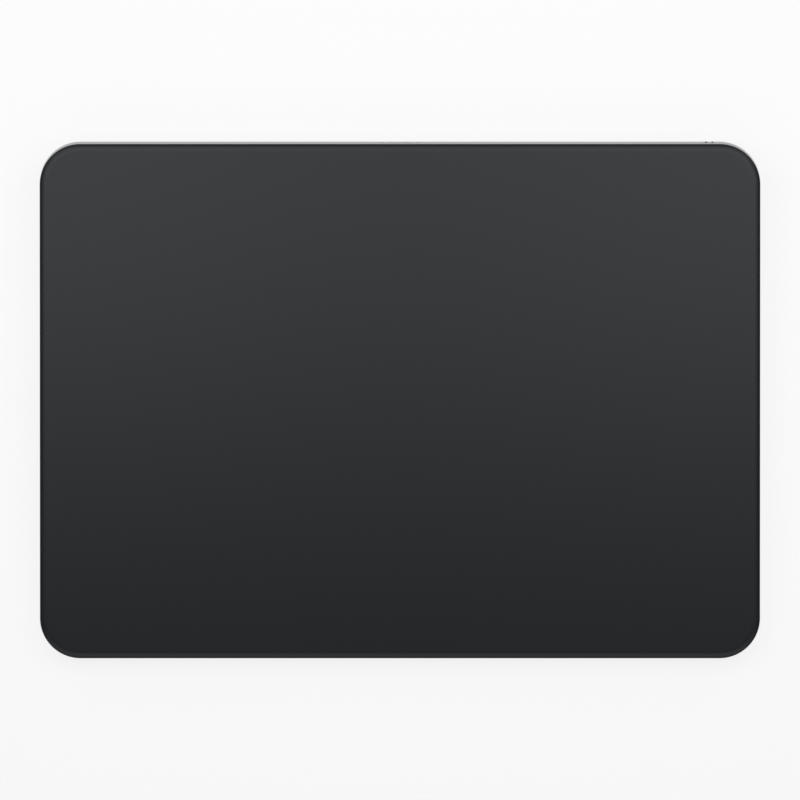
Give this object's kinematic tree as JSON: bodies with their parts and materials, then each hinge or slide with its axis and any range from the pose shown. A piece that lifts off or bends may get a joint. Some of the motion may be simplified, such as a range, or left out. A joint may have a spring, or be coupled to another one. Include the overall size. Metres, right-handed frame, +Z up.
{
  "type": "trackpad",
  "caption": "Wedge-shaped desktop trackpad: black glass touch plate on force-sensing flexures over an aluminium tub, with haptics, a rear charge port and a slide switch.",
  "frame": {"origin": "on the table under the middle of the pad", "axes": "+X to the user's right, +Y to the rear, +Z up; the user sits at -Y"},
  "size_m": [0.16, 0.1149, 0.0108],
  "materials": {
    "glass": "black, finely etched satin",
    "aluminium": "fine bead-blasted, anodised",
    "base_plastic": "fine moulded texture",
    "rubber": "matte",
    "adhesive": "matte film",
    "sensor_board": "solder mask",
    "logic_board": "solder mask",
    "chip": "moulded",
    "passive": "ceramic",
    "socket": "moulded",
    "spring_steel": "rolled",
    "fastener": "machined",
    "elastomer": "matte",
    "gauge": "foil on film",
    "bracket_steel": "stamped",
    "core_iron": "laminated",
    "copper": "enamelled winding",
    "flat_cable": "film",
    "battery_foil": "laminated foil",
    "antenna_ceramic": "ceramic",
    "port_steel": "drawn",
    "port_plastic": "moulded",
    "contact_gold": "plated",
    "knob_plastic": "moulded"
  },
  "bodies": {
    "housing": {"housing": "aluminium", "base_cover": "base_plastic", "foot_front_left": "rubber", "foot_front_right": "rubber", "foot_rear_left": "rubber", "foot_rear_right": "rubber", "cover_bond": "adhesive", "battery_tape": "adhesive", "logic_board": "logic_board", "battery_guard_board": "logic_board", "logic_chips": "chip", "logic_passives": "passive", "logic_flex_socket": "socket", "haptic_lead_socket": "socket", "battery_socket": "socket", "flexure_front_left": "spring_steel", "flexure_front_right": "spring_steel", "flexure_rear_left": "spring_steel", "flexure_rear_right": "spring_steel", "flexure_nuts": "fastener", "flexure_screws": "fastener", "haptic_screws": "fastener", "logic_screws": "fastener", "stop_pads": "elastomer", "strain_gauges": "gauge", "haptic_bracket": "bracket_steel", "shield_radio": "bracket_steel", "shield_power": "bracket_steel", "haptic_core": "core_iron", "haptic_coil_left": "copper", "haptic_coil_middle": "copper", "haptic_coil_right": "copper", "haptic_lead": "flat_cable", "battery_lead": "flat_cable", "sensor_flex": "flat_cable", "battery_cell": "battery_foil", "antenna": "antenna_ceramic", "charge_port_shell": "port_steel", "charge_port_insulator": "port_plastic", "charge_port_tongue": "port_plastic", "power_switch_body": "port_plastic", "charge_port_contacts": "contact_gold"},
    "carrier": {"carrier_frame": "spring_steel", "tip_rivets": "fastener", "shear_pad_front_left": "elastomer", "shear_pad_front_right": "elastomer", "shear_pad_rear_left": "elastomer", "shear_pad_rear_right": "elastomer"},
    "touch_plate": {"glass_top": "glass", "glass_bond": "adhesive", "sensor_board": "sensor_board", "touch_controller": "chip", "force_processor": "chip", "sensor_passives": "passive", "sensor_flex_socket": "socket", "haptic_armature": "core_iron"},
    "power_slider": {"power_knob": "knob_plastic", "switch_stylus": "knob_plastic"}
  },
  "joints": [
    {"name": "touch_press", "type": "slide", "parent": "housing", "child": "carrier", "axis": [0, -0.0524, 0.9986], "range_m": [-0.0002, 0], "stiffness_N_per_m": 20000, "springref_m": 0.0001, "deforming": ["flexure_front_left", "flexure_front_right", "flexure_rear_left", "flexure_rear_right", "strain_gauges", "sensor_flex"]},
    {"name": "touch_haptic", "type": "slide", "parent": "carrier", "child": "touch_plate", "axis": [0, 0.9986, 0.0524], "range_m": [-0.0001, 0.0001], "stiffness_N_per_m": 20000, "deforming": ["shear_pad_front_left", "shear_pad_front_right", "shear_pad_rear_left", "shear_pad_rear_right", "sensor_flex"]},
    {"name": "power_slide", "type": "slide", "parent": "housing", "child": "power_slider", "axis": [1, 0, 0], "range_m": [-0.002, 0]}
  ]
}
